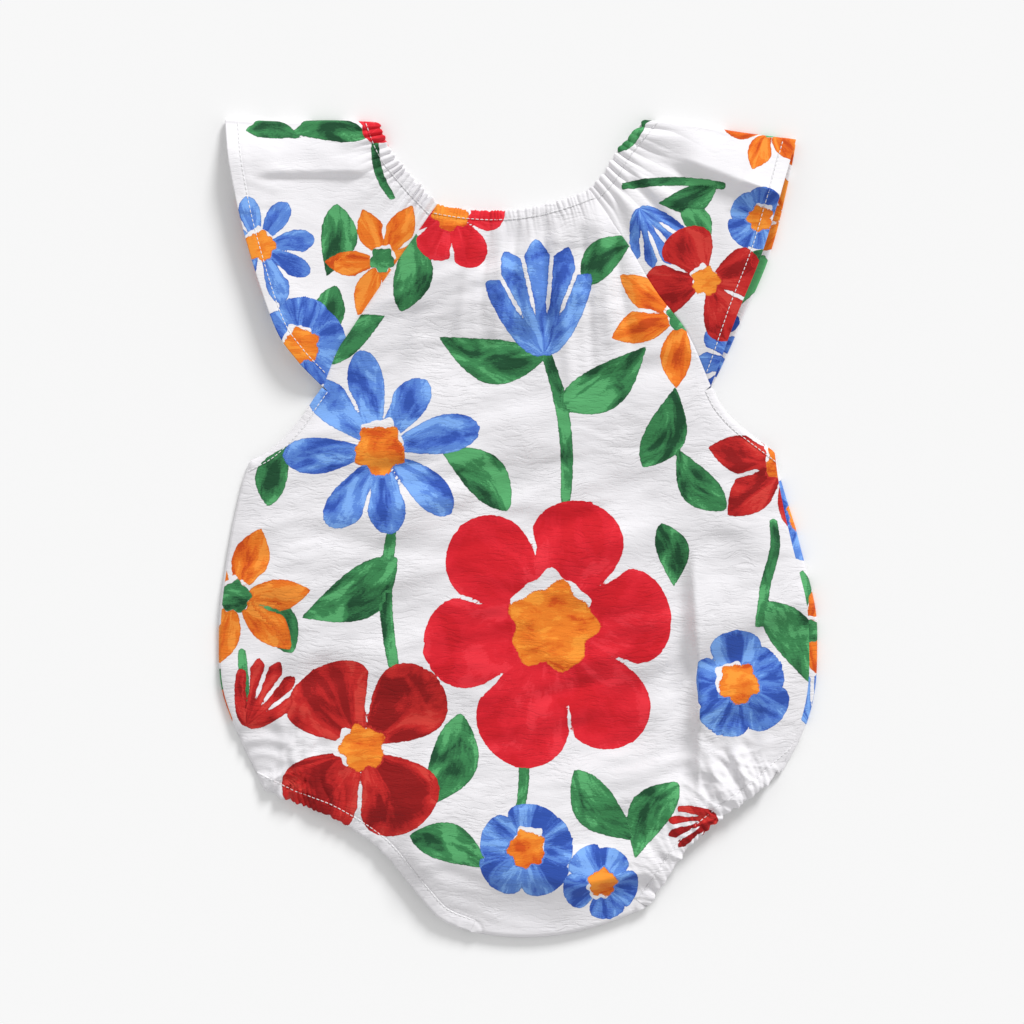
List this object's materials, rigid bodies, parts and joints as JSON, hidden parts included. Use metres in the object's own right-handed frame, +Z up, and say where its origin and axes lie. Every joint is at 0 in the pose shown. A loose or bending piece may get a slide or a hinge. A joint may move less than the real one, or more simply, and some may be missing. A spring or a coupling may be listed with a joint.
{
  "type": "baby bubble romper",
  "caption": "Baby bubble romper with flutter sleeves and elastic neck and legs, in flower-printed crinkle cotton, laid flat.",
  "frame": {"origin": "middle of the romper in plan, on the surface it lies on", "axes": "+X across the chest, +Y from crotch to neck, +Z up off the surface"},
  "size_m": [0.2778, 0.3802, 0.0083],
  "materials": {
    "body_cotton": "matte crinkle cotton, printed with large flowers on white",
    "sleeve_cotton": "matte light cotton, printed with large flowers on white",
    "casing_cotton": "gathered printed cotton over elastic, topstitched in white",
    "hem_cotton": "narrow turned hem of printed cotton, topstitched in white"
  },
  "bodies": {
    "root": {"front_panel": "body_cotton", "back_panel": "body_cotton", "sleeve_left": "sleeve_cotton", "sleeve_right": "sleeve_cotton", "neck_casing_front": "casing_cotton", "neck_casing_back": "casing_cotton", "neck_casing_left": "casing_cotton", "neck_casing_right": "casing_cotton", "leg_casing_left_front": "casing_cotton", "leg_casing_left_back": "casing_cotton", "leg_casing_right_front": "casing_cotton", "leg_casing_right_back": "casing_cotton", "sleeve_hem_left": "hem_cotton", "sleeve_hem_right": "hem_cotton", "armhole_hem_left_front": "hem_cotton", "armhole_hem_left_back": "hem_cotton", "armhole_hem_right_front": "hem_cotton", "armhole_hem_right_back": "hem_cotton"}
  },
  "joints": []
}
